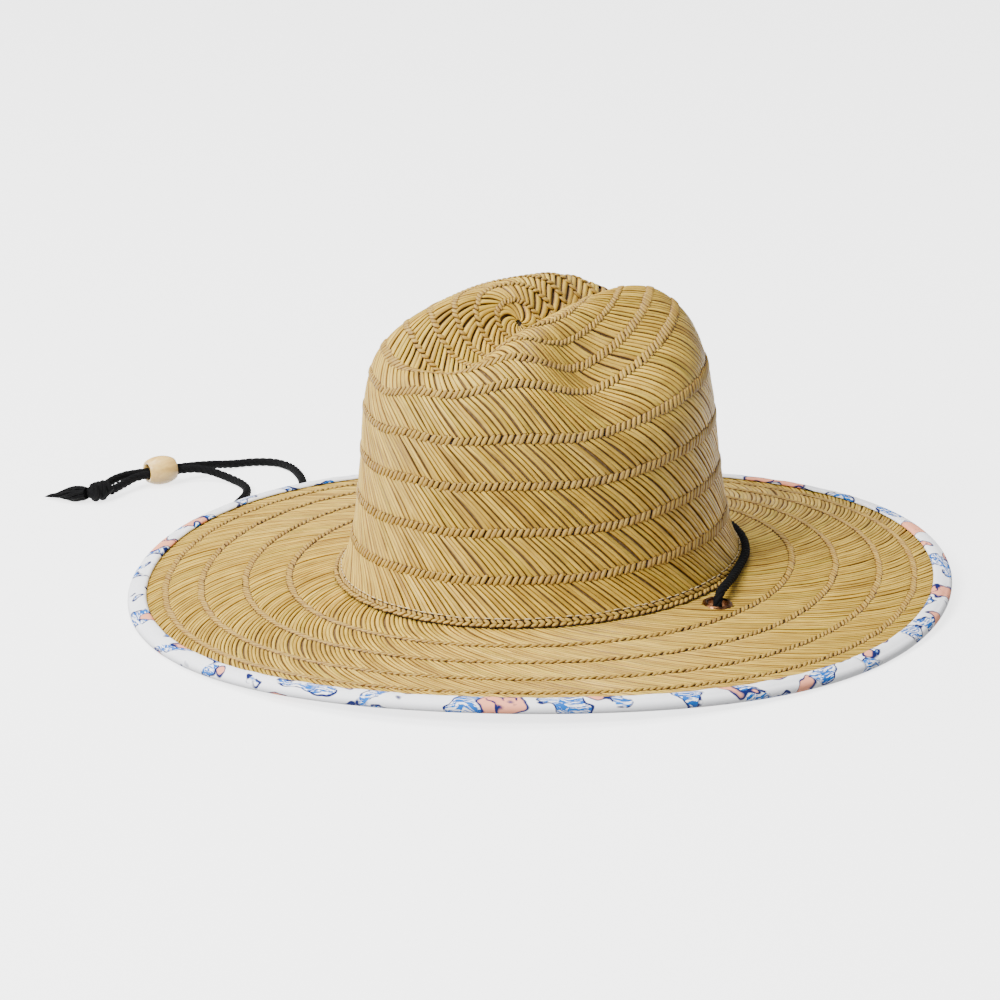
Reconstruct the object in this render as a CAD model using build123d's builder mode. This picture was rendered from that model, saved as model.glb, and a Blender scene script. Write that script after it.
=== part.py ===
from build123d import *
from math import acos, cos, exp, hypot, pi, radians, sin, tan
import os

# Straw sun hat with a pinched crown, a bound brim and a chin cord with a slider bead.
# +Z up, the front of the hat points to -Y and the wearer's left is +X.
# The origin lies under the middle of the brim, on the surface that the hat rests on.

# ---- driving dimensions, mm and radians -------------------------------------------------
BASE_RADIUS = 97.6  # mean radius of the wall, carried down to the brim
BASE_FLARE = 2.6  # how far the wall turns outward where it meets the brim
FLARE_FADE = 6.0  # height over which that turn fades
WALL_TAPER = 0.152  # inward lean of the wall, mm per mm of height
WAIST = 2.7  # how far the wall hollows between the base and the shoulder
OVAL = 0.951  # head oval: width is radius * OVAL, length is radius / OVAL
BASE_HEIGHT = 15.7  # crown base above the ground
FORWARD_LEAN = 0.024  # the crown leans to the front, radians
SHOULDER_HEIGHT = 82.0  # where the wall starts to round over
CROWN_HEIGHT = 139.0  # top of the dome before it is creased
SHOULDER_POWER = 3.4  # squareness of the shoulder
CREASE_START = 40.0  # the wall is plain below this height
CREASE_DEPTH = 27.0
START_OFFSET = -12.0  # the weave starts this far to the wearer's right of the middle

STRAW = 2.4  # thickness of the woven straw
SEAM_GAP = 0.1  # between the crown's foot and the brim, and the crown's wall and top
CROWN_PARTING = 94.0  # height where the crown's wall ends and its top begins
BRIM_WIDTH = 102.0
STRAW_WIDTH = 99.4  # the straw stops short of the brim's bound edge
EDGE_WAVE = 3.2  # half of the rise and fall of the brim's edge
WAVE_PHASE = radians(3)
REST_FLAT = 0.35  # how far the edge is pressed flat where it touches the ground

FABRIC = 0.5
BINDING = 0.9
BINDING_WIDTH = 9.0
PLY_GAP = 0.05  # between sewn plies
THREAD = 0.5
STACK = STRAW + FABRIC + BINDING + 2 * PLY_GAP  # the straw's face to the binding's underside

BAND = 1.0  # sweatband
BAND_BOTTOM = 1.5
BAND_TOP = 30.0
BAND_GAP = 0.3

EYELET_SIDE = 106.9  # eyelets stand this far to each side of the middle
EYELET_BACK = 3.0
EYELET_BORE = 4.7
EYELET_BARREL = 5.2
EYELET_FLANGE = 7.25
EYELET_METAL = 0.5
EYELET_HOLE = 5.3

CORD = 4.2
BEAD_CENTRE = Vector(-273.5, 11.6, 7.6)
BEAD_TURN = radians(22)  # the bead's axis is turned from +Y towards +X
BEAD_RADIUS = 7.6
BEAD_END_RADIUS = 5.6
BEAD_LENGTH = 15.4
BEAD_BORE = 4.6
KNOT_CENTRE = Vector(-275.5, -31.9, 5.6)
KNOT_LENGTH = 16.0
KNOT_RADIUS = 5.6
TASSEL_START = Vector(-278.2, -38.4, 5.2)
TASSEL_END = Vector(-301.0, -45.5, 1.4)

RING_POINTS = 72
HALF_STEPS = 15

BASE_SIDE = OVAL * (BASE_RADIUS + BASE_FLARE)
BASE_FRONT = (BASE_RADIUS + BASE_FLARE) / OVAL


# ---- form of the crown ------------------------------------------------------------------
def smooth(t):
    t = min(max(t, 0), 1)
    return t * t * (3 - 2 * t)


def wall_radius(height):
    climb = min(max(height / SHOULDER_HEIGHT, 0), 1)
    hollow = WAIST * sin(pi * climb**0.72)
    return BASE_RADIUS - WALL_TAPER * height + BASE_FLARE * exp(-height / FLARE_FADE) - hollow


def dome_height(share):
    rise = (1 - share**SHOULDER_POWER) ** (1 / SHOULDER_POWER)
    return SHOULDER_HEIGHT + (CROWN_HEIGHT - SHOULDER_HEIGHT) * rise


def dent(x, y, z, depth, centre, width, front, rear, tall):
    """Depth of a rounded dent that is pressed into the dome."""
    reach = front if y < centre[1] else rear
    spread = ((x - centre[0]) / width) ** 2 + ((y - centre[1]) / reach) ** 2
    return depth * exp(-spread - ((z - centre[2]) / tall) ** 2)


def crown_point(turn, height, share):
    """Point of the outer face; share runs from 1 on the wall to 0 at the weave's start."""
    radius = wall_radius(height) * share
    x = OVAL * radius * cos(turn) + START_OFFSET * (1 - share) ** 1.5
    y = radius / OVAL * sin(turn)
    z = height

    # crease along the top, wide and open at the front, closing towards the rear
    window = smooth((y + 89) / 33) * (1 - smooth((y - 45) / 47))
    crease_width = 15 + 9 * smooth((40 - y) / 110)
    crease_middle = -3.5 * smooth((40 - y) / 90)
    crease = CREASE_DEPTH * window * exp(-(abs((x - crease_middle) / crease_width) ** 2.3))

    # the pinch at each side, deeper on the wearer's left, and the lower right ridge
    left = dent(x, y, z, 25, (57, -21, 120), 28, 29, 50, 31)
    right = dent(-x, y, z, 11, (62, -16, 108), 24, 26, 34, 26)
    low_ridge = 5.5 * smooth((-x - 2) / 40) * smooth((z - 95) / 40)

    pressed = smooth((z - CREASE_START) / 30)
    x += pressed * 0.5 * (right - left)
    y += pressed * 0.1 * (left + right)
    z -= pressed * (crease + low_ridge + 0.85 * (left + right))
    return Vector(x, y - FORWARD_LEAN * z, z + FORWARD_LEAN * y + BASE_HEIGHT)


def crown_normal(turn, height, share):
    """Outward normal of the outer face; level with the ring where the wall is plain."""
    if share == 0:
        across = [crown_point(step * pi / 2, dome_height(0.03), 0.03) for step in range(4)]
        return (across[0] - across[2]).cross(across[1] - across[3]).normalized()
    around = crown_point(turn + 0.01, height, share) - crown_point(turn - 0.01, height, share)
    if height < CREASE_START:
        upward = Vector(0, -FORWARD_LEAN, 1)
    elif share == 1:
        upward = crown_point(turn, height + 0.1, 1) - crown_point(turn, height - 0.1, 1)
    else:
        upper, lower = share - 0.005, share + 0.005
        upward = crown_point(turn, dome_height(upper), upper)
        upward -= crown_point(turn, dome_height(lower), lower)
    return around.cross(upward).normalized()


def inset_point(turn, height, share, inset):
    return crown_point(turn, height, share) - crown_normal(turn, height, share) * inset


def crown_ring(height, share, inset):
    turns = [2 * pi * step / RING_POINTS for step in range(RING_POINTS)]
    points = [inset_point(turn, height, share, inset) for turn in turns]
    return Wire([Edge.make_spline(points, periodic=True)])


def crown_form(inset, foot):
    """Closed body under the crown's outer face, or under a face inset from it."""
    wall_heights = (foot, 2, 5, 10, 20, 35, 50, 65, 75, SHOULDER_HEIGHT)
    shares = (0.97, 0.93, 0.88, 0.82, 0.75, 0.68, 0.6, 0.52, 0.44, 0.36, 0.28, 0.2, 0.12)
    rings = [crown_ring(height, 1, inset) for height in wall_heights]
    rings += [crown_ring(dome_height(share), share, inset) for share in shares]
    start = inset_point(0, CROWN_HEIGHT, 0, inset)
    return Solid.make_loft(rings + [Vertex(start.X, start.Y, start.Z)])


def wall_band(low, high, outer_inset, inner_inset):
    """Closed band along the plain part of the wall."""
    heights = [low + (high - low) * step / 3 for step in range(4)]
    outside = Solid.make_loft([crown_ring(height, 1, outer_inset) for height in heights])
    heights[0] -= 1
    heights[3] += 1
    inside = Solid.make_loft([crown_ring(height, 1, inner_inset) for height in heights])
    return outside - inside


# ---- form of the brim -------------------------------------------------------------------
def radial_plane(turn):
    """Upright plane across the brim; its x is the distance out from the crown's base."""
    length = hypot(BASE_FRONT * cos(turn), BASE_SIDE * sin(turn))
    outward = Vector(BASE_FRONT * cos(turn) / length, BASE_SIDE * sin(turn) / length, 0)
    origin = Vector(BASE_SIDE * cos(turn), BASE_FRONT * sin(turn), 0)
    return Plane(origin=origin, x_dir=outward, z_dir=outward.cross(Vector(0, 0, 1)))


def brim_slope(turn):
    start = BASE_HEIGHT - SEAM_GAP + FORWARD_LEAN * BASE_FRONT * sin(turn)
    edge = STACK - REST_FLAT + EDGE_WAVE * (1 - cos(3 * (turn - WAVE_PHASE)))
    return start, (edge - start) / BRIM_WIDTH


def straw_top(turn, out):
    """Height of the straw's upper face at a distance out from the crown's base."""
    start, slope = brim_slope(turn)
    return start + slope * max(out, 0)


def ply_face(turn, outs, top, thick):
    """Cross-section of one ply; top is measured up from the straw's face."""
    upper = [(out, straw_top(turn, out) + top) for out in outs]
    lower = [(out, height - thick) for out, height in reversed(upper)]
    with BuildSketch(radial_plane(turn)) as section:
        with BuildLine():
            Polyline(*upper, *lower, close=True)
        make_face()
    return section.sketch.faces()[0]


def straw_face(turn):
    return ply_face(turn, (-STRAW, 0, STRAW_WIDTH), 0, STRAW)


def fabric_face(turn):
    return ply_face(turn, (-1.5, 0, STRAW_WIDTH), -STRAW - PLY_GAP, FABRIC)


def thread_face(turn):
    middle = BRIM_WIDTH - BINDING_WIDTH + 1.5
    outs = (middle - THREAD / 2, middle + THREAD / 2)
    return ply_face(turn, outs, BINDING + 2 * PLY_GAP + THREAD, THREAD)


def binding_face(turn):
    """Cross-section of the strip that is folded round the brim's edge."""
    top = PLY_GAP + BINDING
    bend = BRIM_WIDTH - (top + STACK) / 2
    inner = BRIM_WIDTH - BINDING_WIDTH

    def at(out, height):
        return out, straw_top(turn, out) + height

    middle = (top - STACK) / 2
    with BuildSketch(radial_plane(turn)) as section:
        with BuildLine():
            Line(at(inner, top), at(bend, top))
            ThreePointArc(at(bend, top), at(BRIM_WIDTH, middle), at(bend, -STACK))
            Polyline(
                at(bend, -STACK),
                at(inner, -STACK),
                at(inner, BINDING - STACK),
                at(bend, BINDING - STACK),
            )
            ThreePointArc(
                at(bend, BINDING - STACK),
                at(BRIM_WIDTH - BINDING, middle),
                at(bend, PLY_GAP),
            )
            Polyline(at(bend, PLY_GAP), at(inner, PLY_GAP), at(inner, top))
        make_face()
    return section.sketch.faces()[0]


def half_sections(face_at, start):
    """Cross-sections at even steps over half a turn."""
    return [face_at(start + pi * step / HALF_STEPS) for step in range(HALF_STEPS + 1)]


def eyelet_plane(side):
    """Plane on the straw's face at an eyelet, square to the brim; side is +1 or -1."""
    turn = acos(side)
    start, slope = brim_slope(turn)
    height = start + slope * (EYELET_SIDE - BASE_SIDE) + FORWARD_LEAN * EYELET_BACK
    outward = Vector(side, 0, slope)
    across = Vector(0, 1, FORWARD_LEAN)
    origin = (side * EYELET_SIDE, EYELET_BACK, height)
    return Plane(origin=origin, x_dir=outward, z_dir=outward.cross(across) * side)


# ---- straw ------------------------------------------------------------------------------
with BuildPart() as crown_shell:
    add(crown_form(0, 0))
    add(crown_form(STRAW, -1), mode=Mode.SUBTRACT)
with BuildPart() as straw_crown:
    add(crown_shell.part)
    split(bisect_by=Plane.XY.offset(CROWN_PARTING), keep=Keep.BOTTOM)
straw_crown.part.label = "straw_crown"
with BuildPart() as straw_crown_top:
    add(crown_shell.part)
    split(bisect_by=Plane.XY.offset(CROWN_PARTING + SEAM_GAP), keep=Keep.TOP)
straw_crown_top.part.label = "straw_crown_top"

with BuildPart() as straw_brim:
    loft(sections=half_sections(straw_face, 0))
    loft(sections=half_sections(straw_face, pi))
    with BuildSketch(eyelet_plane(1), eyelet_plane(-1)):
        Circle(EYELET_HOLE)
    extrude(amount=6, both=True, mode=Mode.SUBTRACT)
straw_brim.part.label = "straw_brim"

# ---- fabric and thread ------------------------------------------------------------------
with BuildPart() as underbrim_fabric:
    loft(sections=half_sections(fabric_face, 0))
    loft(sections=half_sections(fabric_face, pi))
    with BuildSketch(eyelet_plane(1), eyelet_plane(-1)):
        Circle(EYELET_HOLE)
    extrude(amount=6, both=True, mode=Mode.SUBTRACT)
underbrim_fabric.part.label = "underbrim_fabric"

with BuildPart() as brim_binding:
    loft(sections=half_sections(binding_face, 0))
    loft(sections=half_sections(binding_face, pi))
    with Locations((0, 0, -10)):
        Box(500, 500, 20, mode=Mode.SUBTRACT)
brim_binding.part.label = "brim_binding"

with BuildPart() as binding_stitching:
    loft(sections=half_sections(thread_face, 0))
    loft(sections=half_sections(thread_face, pi))
binding_stitching.part.label = "binding_stitching"

with BuildPart() as sweatband:
    add(wall_band(BAND_BOTTOM, BAND_TOP, STRAW + BAND_GAP, STRAW + BAND_GAP + BAND))
sweatband.part.label = "sweatband"

with BuildPart() as sweatband_stitching:
    add(wall_band(3.5, 3.5 + THREAD, -PLY_GAP - THREAD, -PLY_GAP))
sweatband_stitching.part.label = "sweatband_stitching"


# ---- eyelets ----------------------------------------------------------------------------
def eyelet(side):
    """Rolled flange, barrel and the lip that is set over the washer."""
    base = eyelet_plane(side)
    foot = -STRAW - FABRIC - EYELET_METAL - 0.35
    with BuildPart() as ring:
        with BuildSketch(Plane(base.origin, x_dir=base.x_dir, z_dir=-base.y_dir)):
            with BuildLine():
                Line((EYELET_BARREL, SEAM_GAP), (EYELET_FLANGE, SEAM_GAP))
                ThreePointArc((EYELET_FLANGE, SEAM_GAP), (6.2, 0.95), (EYELET_BORE, 0.3))
                Polyline(
                    (EYELET_BORE, 0.3),
                    (EYELET_BORE, foot - EYELET_METAL),
                    (EYELET_BARREL + 1, foot - EYELET_METAL),
                    (EYELET_BARREL + 1, foot),
                    (EYELET_BARREL, foot),
                    (EYELET_BARREL, SEAM_GAP),
                )
            make_face()
        revolve(axis=Axis(base.origin, base.z_dir))
    return ring.part


def eyelet_washer(side):
    base = eyelet_plane(side)
    top = base.offset(-STRAW - FABRIC - 0.3)
    with BuildPart() as washer:
        with BuildSketch(top):
            Circle(EYELET_FLANGE)
            Circle(EYELET_HOLE, mode=Mode.SUBTRACT)
        extrude(amount=-EYELET_METAL)
    return washer.part


# ---- bead, knot and tassel --------------------------------------------------------------
bead_axis = Vector(sin(BEAD_TURN), cos(BEAD_TURN), 0)
with BuildPart() as cord_bead:
    end = BEAD_LENGTH / 2
    with BuildSketch(Plane(BEAD_CENTRE, x_dir=bead_axis, z_dir=(bead_axis.Y, -bead_axis.X, 0))):
        with BuildLine():
            ThreePointArc((-end, BEAD_END_RADIUS), (0, BEAD_RADIUS), (end, BEAD_END_RADIUS))
            Polyline(
                (end, BEAD_END_RADIUS),
                (end, BEAD_BORE + 0.4),
                (end - 0.4, BEAD_BORE),
                (0.4 - end, BEAD_BORE),
                (-end, BEAD_BORE + 0.4),
                (-end, BEAD_END_RADIUS),
            )
        make_face()
    revolve(axis=Axis(BEAD_CENTRE, bead_axis))
cord_bead.part.label = "cord_bead"

knot_axis = Vector(-0.222, -0.975, 0)
with BuildPart() as cord_knot:
    half = KNOT_LENGTH / 2
    with BuildSketch(Plane(KNOT_CENTRE, x_dir=knot_axis, z_dir=(-knot_axis.Y, knot_axis.X, 0))):
        with BuildLine():
            EllipticalCenterArc((0, 0), half, KNOT_RADIUS, arc_size=180)
            Line((-half, 0), (half, 0))
        make_face()
    revolve(axis=Axis(KNOT_CENTRE, knot_axis))
cord_knot.part.label = "cord_knot"

tassel_run = TASSEL_END - TASSEL_START
with BuildPart() as cord_tassel:
    for share, radius in ((0, 3.6), (0.3, 4.2), (0.65, 2.7), (1, 0.9)):
        with BuildSketch(Plane(TASSEL_START + tassel_run * share, z_dir=tassel_run)):
            Circle(radius)
    loft()
cord_tassel.part.label = "cord_tassel"


# ---- chin cord --------------------------------------------------------------------------
# Corners of the cord's centreline; every corner is rounded to an arc.
BACK_ROUTE = [
    (106.9, 3.0, 12.5),
    (106.9, 3.0, 17.0),
    (106.4, 6.6, 19.9),
    (103.2, 14.0, 20.2),
    (98.9, 23.0, 19.6),
    (93.6, 33.5, 19.0),
    (87.8, 44.3, 18.9),
    (78.3, 62.7, 19.4),
    (62.2, 81.8, 19.9),
    (42.4, 96.0, 20.3),
    (20.1, 104.5, 20.5),
    (-0.2, 106.8, 20.5),
    (-20.3, 104.4, 20.5),
    (-42.5, 95.9, 20.3),
    (-62.3, 81.7, 19.9),
    (-78.4, 62.6, 19.4),
    (-87.9, 44.3, 19.0),
    (-93.7, 33.5, 19.2),
    (-99.0, 23.0, 19.9),
    (-103.2, 14.0, 20.7),
    (-106.4, 6.6, 20.6),
    (-106.9, 3.0, 17.8),
    (-106.9, 3.0, 13.3),
]
LEFT_ROUTE = [
    (106.9, 3.0, 12.5),
    (106.9, 3.0, 8.0),
    (104.2, 2.0, 4.6),
    (98.5, 0.0, 2.6),
    (88, -2.8, 2.15),
    (67, -6.5, 2.15),
    (34, -8, 2.15),
    (-14, -4, 2.15),
    (-62, -12, 2.15),
    (-104, -25, 2.15),
    (-143, -35, 2.15),
    (-172, -37.5, 2.15),
    (-190, -30, 2.15),
    (-201.5, -15, 2.15),
    (-208.8, -1, 2.15),
    (-215, 12.5, 2.15),
    (-222, 24.5, 2.15),
    (-232, 33, 2.15),
    (-247, 37, 2.5),
    (-263.3, 31.2, 6.8),
    (-270.75, 12.83, 6.8),
    (-277.0, -2.9, 6.7),
    (-276.0, -12.5, 5.2),
    (-273.9, -25.5, 4.2),
]
RIGHT_ROUTE = [
    (-106.9, 3.0, 13.3),
    (-106.9, 3.0, 8.6),
    (-109.6, 4.4, 4.9),
    (-115.8, 7.4, 2.9),
    (-126.5, 12.3, 2.15),
    (-145, 20.5, 2.15),
    (-172, 27, 2.15),
    (-190, 36, 2.15),
    (-203, 46, 2.15),
    (-213, 57.5, 2.15),
    (-225, 67, 2.15),
    (-238, 74.5, 2.15),
    (-250.5, 75.5, 2.15),
    (-260, 68, 2.15),
    (-265, 55.5, 2.5),
    (-266.5, 34.7, 6.8),
    (-277.05, 8.6, 6.8),
    (-285.2, -10.5, 7.0),
    (-278.0, -26.5, 6.0),
]


def bend_radii(route):
    """Largest arc that the two runs at each corner leave room for."""
    radii = []
    for before, corner, after in zip(route, route[1:], route[2:]):
        arriving = Vector(corner) - Vector(before)
        leaving = Vector(after) - Vector(corner)
        half_turn = radians(arriving.get_angle(leaving)) / 2
        radii.append(0.45 * min(arriving.length, leaving.length) / tan(half_turn))
    return radii


def cord_tube(label, route):
    radii = bend_radii(route)
    with BuildPart() as tube:
        with BuildLine() as path:
            FilletPolyline(*route, radius=radii)
        route_wire = path.wire()
        with BuildSketch(Plane(route_wire @ 0, z_dir=route_wire % 0)):
            Circle(CORD / 2)
        sweep(path=route_wire)
    length = route_wire.length
    filled = tube.part.volume / (pi * CORD**2 / 4 * length)
    print(f"{label}: length {length:.1f}, volume against section * length {filled:.4f}")
    print("  radii", " ".join(f"{radius:.1f}" for radius in radii))
    tube.part.label = label
    return tube.part


# ---- write ------------------------------------------------------------------------------
pieces = [
    straw_crown.part,
    straw_crown_top.part,
    straw_brim.part,
    underbrim_fabric.part,
    brim_binding.part,
    binding_stitching.part,
    sweatband.part,
    sweatband_stitching.part,
    cord_bead.part,
    cord_knot.part,
    cord_tassel.part,
    cord_tube("chin_cord_back", BACK_ROUTE),
    cord_tube("chin_cord_left", LEFT_ROUTE),
    cord_tube("chin_cord_right", RIGHT_ROUTE),
]
for name, side in (("left", 1), ("right", -1)):
    ring = eyelet(side)
    ring.label = f"eyelet_{name}"
    washer = eyelet_washer(side)
    washer.label = f"eyelet_washer_{name}"
    pieces += [ring, washer]

os.makedirs("parts", exist_ok=True)
for piece in pieces:
    export_step(piece, f"parts/{piece.label}.step")
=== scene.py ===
"""Straw sun hat: woven straws, printed fabric, chin cord, wooden bead, eyelets, studio."""

from math import cos, pi, radians, sin

import bpy
import numpy as np
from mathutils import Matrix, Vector


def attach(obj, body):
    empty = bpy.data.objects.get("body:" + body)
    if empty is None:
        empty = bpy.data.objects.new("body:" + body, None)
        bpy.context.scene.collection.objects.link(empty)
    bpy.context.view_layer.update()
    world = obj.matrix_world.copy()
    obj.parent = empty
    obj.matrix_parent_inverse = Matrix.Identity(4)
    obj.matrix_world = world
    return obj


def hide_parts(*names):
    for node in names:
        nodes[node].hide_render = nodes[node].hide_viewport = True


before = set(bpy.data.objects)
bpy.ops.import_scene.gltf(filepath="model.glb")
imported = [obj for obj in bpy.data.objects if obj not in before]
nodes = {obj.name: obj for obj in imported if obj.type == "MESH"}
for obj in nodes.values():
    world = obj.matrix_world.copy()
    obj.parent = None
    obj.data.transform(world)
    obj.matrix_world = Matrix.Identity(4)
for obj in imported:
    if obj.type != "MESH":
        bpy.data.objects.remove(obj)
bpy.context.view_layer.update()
rng = np.random.default_rng(7)
MM = 0.001

# ---- form of the hat, in mm and radians, the same as the CAD's ---------------------------
BASE_RADIUS = 97.6
BASE_FLARE = 2.6
FLARE_FADE = 6.0
WALL_TAPER = 0.152
WAIST = 2.7
OVAL = 0.951
BASE_HEIGHT = 15.7
FORWARD_LEAN = 0.024
SHOULDER_HEIGHT = 82.0
CROWN_HEIGHT = 139.0
SHOULDER_POWER = 3.4
CREASE_START = 40.0
CREASE_DEPTH = 27.0
START_OFFSET = -12.0

STRAW = 2.4
BRIM_WIDTH = 102.0
STRAW_WIDTH = 99.4
EDGE_WAVE = 3.2
WAVE_PHASE = radians(3)
EDGE_LOW = 3.55
BINDING_WIDTH = 9.0
BINDING_RISE = 0.95  # the binding's upper side above the straw's face
BINDING_THICK = 0.35
FACING_THICK = 0.4
BACKING_DEPTH = 1.15  # from the straw's face to the sheet of painted shade behind it
BACKING_THICK = 0.35
STACK = 3.9
BASE_SIDE = OVAL * (BASE_RADIUS + BASE_FLARE)
BASE_FRONT = (BASE_RADIUS + BASE_FLARE) / OVAL

# ---- weave, in mm ------------------------------------------------------------------------
STRAW_PITCH = 3.12  # from one straw to the next, measured along a row
WALL_ROWS = (2.6, 22.2, 44.4, 66.6, 88.6)  # from the crown's base, along the wall
WALL_LENGTH = 196.0  # mean length of the wall and top, from the base to the start
TOP_ROWS = (88.0, 73.5, 59.0, 46.0, 34.0, 23.0, 12.0, 0.8)  # from the weave's start, along the top
BRIM_ROWS = (-1.4, 23.7, 44.9, 66.5, 83.8, 99.4)  # from the crown's base, along the brim
WALL_SLANT = 18.0  # how far a straw moves sideways from one row to the next
BRIM_SLANT = 22.0
ROW_SAG = 0.06  # how far the rows hang, as a share of their height, on the side of the pinch
SAG_TURN = radians(-50)
KNOT_TALL = 5.3  # the short crossing straws of a row
KNOT_SLANT = 2.5
TOP_KNOT_TALL = 3.4
WALL_AND_RIDGE_ROWS = 6  # from here up the rows are finer
WALL_BANDS = 4  # from here up the straws belong to the top's piece
BRIM_KNOT_TALL = 3.6
BRIM_KNOT_SLANT = 4.2
FOOT_TALL = 2.6  # the pair of finer rows at the crown's foot
STRAW_TALL = 1.0  # a straw's rounding above its sides


def smooth(t):
    t = np.clip(t, 0, 1)
    return t * t * (3 - 2 * t)


def dent(x, y, z, depth, centre, width, front, rear, tall):
    reach = np.where(y < centre[1], front, rear)
    spread = ((x - centre[0]) / width) ** 2 + ((y - centre[1]) / reach) ** 2
    return depth * np.exp(-spread - ((z - centre[2]) / tall) ** 2)


def crown_point(turn, height, share):
    """Points of the crown's outer face, for arrays of the same shape."""
    climb = np.clip(height / SHOULDER_HEIGHT, 0, 1)
    radius = BASE_RADIUS - WALL_TAPER * height + BASE_FLARE * np.exp(-height / FLARE_FADE)
    radius = radius - WAIST * np.sin(pi * climb**0.72)
    x = OVAL * radius * share * np.cos(turn) + START_OFFSET * (1 - share) ** 1.5
    y = radius * share / OVAL * np.sin(turn)
    z = height
    window = smooth((y + 89) / 33) * (1 - smooth((y - 45) / 47))
    crease_width = 15 + 9 * smooth((40 - y) / 110)
    crease_middle = -3.5 * smooth((40 - y) / 90)
    crease = CREASE_DEPTH * window * np.exp(-(np.abs((x - crease_middle) / crease_width) ** 2.3))
    left = dent(x, y, z, 25, (57, -21, 120), 28, 29, 50, 31)
    right = dent(-x, y, z, 11, (62, -16, 108), 24, 26, 34, 26)
    low_ridge = 5.5 * smooth((-x - 2) / 40) * smooth((z - 95) / 40)
    pressed = smooth((z - CREASE_START) / 30)
    x = x + pressed * 0.5 * (right - left)
    y = y + pressed * 0.1 * (left + right)
    z = z - pressed * (crease + low_ridge + 0.85 * (left + right))
    return np.stack([x, y - FORWARD_LEAN * z, z + FORWARD_LEAN * y + BASE_HEIGHT], -1)


def brim_slope(turn):
    start = BASE_HEIGHT + FORWARD_LEAN * BASE_FRONT * np.sin(turn)
    edge = EDGE_LOW + EDGE_WAVE * (1 - np.cos(3 * (turn - WAVE_PHASE)))
    return start, (edge - start) / BRIM_WIDTH


def brim_point(turn, out, rise=0.0):
    """Points of the brim's straw face, or above it by rise."""
    length = np.hypot(BASE_FRONT * np.cos(turn), BASE_SIDE * np.sin(turn))
    x = BASE_SIDE * np.cos(turn) + out * BASE_FRONT * np.cos(turn) / length
    y = BASE_FRONT * np.sin(turn) + out * BASE_SIDE * np.sin(turn) / length
    start, slope = brim_slope(turn)
    return np.stack([x, y, start + slope * out + rise], -1)


class Surface:
    """A closed band of points, lines of equal row by turns, that straws can lie on."""

    def __init__(self, points, side=1):
        self.points = points
        around = np.roll(points, -1, 1) - np.roll(points, 1, 1)
        along = np.gradient(points, axis=0)
        normal = np.cross(around, along) * side
        self.normals = normal / np.linalg.norm(normal, axis=-1, keepdims=True)

    def read(self, grid, row, turn):
        lines, turns = grid.shape[:2]
        a = np.clip(row * (lines - 1), 0, lines - 1.001)
        b = turn / (2 * pi) * turns
        a0 = a.astype(int)
        b0 = np.floor(b).astype(int)
        fa = (a - a0)[..., None]
        fb = (b - b0)[..., None]
        upper = grid[a0, b0 % turns] * (1 - fb) + grid[a0, (b0 + 1) % turns] * fb
        lower = grid[a0 + 1, b0 % turns] * (1 - fb) + grid[a0 + 1, (b0 + 1) % turns] * fb
        return upper * (1 - fa) + lower * fa

    def at(self, row, turn, height=0.0):
        """Points at a share of the way along the band, lifted off it by height."""
        normal = self.read(self.normals, row, turn)
        return self.read(self.points, row, turn) + normal * np.asarray(height)[..., None]


TURNS = 360  # points round the hat in a line of a surface
LINES = 25  # lines from one row to the next
WALL_STEPS = 120
TOP_STEPS = 260


def crown_bands():
    """One surface between each two rows, from the base up to the weave's start."""
    turn = np.linspace(0, 2 * pi, TURNS, endpoint=False)
    wall = np.linspace(0, SHOULDER_HEIGHT, WALL_STEPS, endpoint=False)
    angle = np.linspace(0, pi / 2, TOP_STEPS)
    rise = np.sin(angle) ** (2 / SHOULDER_POWER)
    height = np.concatenate([wall, SHOULDER_HEIGHT + (CROWN_HEIGHT - SHOULDER_HEIGHT) * rise])
    share = np.concatenate([np.ones(WALL_STEPS), np.cos(angle) ** (2 / SHOULDER_POWER)])
    share[-1] = 0
    full = crown_point(turn[None, :], height[:, None], share[:, None] + 0 * turn[None, :])
    steps = np.linalg.norm(np.diff(full, axis=0), axis=-1)
    run = np.concatenate([np.zeros((1, TURNS)), np.cumsum(steps, 0)])
    total = run[-1]
    marks = [low * total / WALL_LENGTH for low in (0.0,) + WALL_ROWS]
    marks += [total - top for top in TOP_ROWS]
    hang = ROW_SAG * np.maximum(np.cos(turn - SAG_TURN), 0) ** 4
    marks = [mark * (1 - hang * (1 - (mark / total) ** 6)) for mark in marks]
    bands = []
    for low, high in zip(marks, marks[1:]):
        want = low + (high - low) * np.linspace(0, 1, LINES)[:, None]
        line = np.empty((LINES, TURNS, 3))
        for column in range(TURNS):
            for axis in range(3):
                line[:, column, axis] = np.interp(
                    want[:, column], run[:, column], full[:, column, axis]
                )
        bands.append(Surface(line))
    return bands


def brim_bands():
    turn = np.linspace(0, 2 * pi, TURNS, endpoint=False)
    bands = []
    for low, high in zip(BRIM_ROWS, BRIM_ROWS[1:]):
        out = np.linspace(low, high, LINES)[:, None]
        bands.append(Surface(brim_point(turn[None, :], out), -1))
    return bands


def foot_cove():
    """The rounded corner between the brim and the crown, as a lower and an upper band."""
    turn = np.linspace(0, 2 * pi, TURNS, endpoint=False)
    low = brim_point(turn, 3.0)
    corner = brim_point(turn, 0.5, 0.4)
    high = crown_point(turn, np.full(TURNS, 2.8), np.ones(TURNS))
    bands = []
    for start in (0, 0.5):
        t = (start + np.linspace(0, 0.5, LINES))[:, None, None]
        bands.append(Surface(low * (1 - t) ** 2 + 2 * corner * t * (1 - t) + high * t**2))
    return bands


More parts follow.
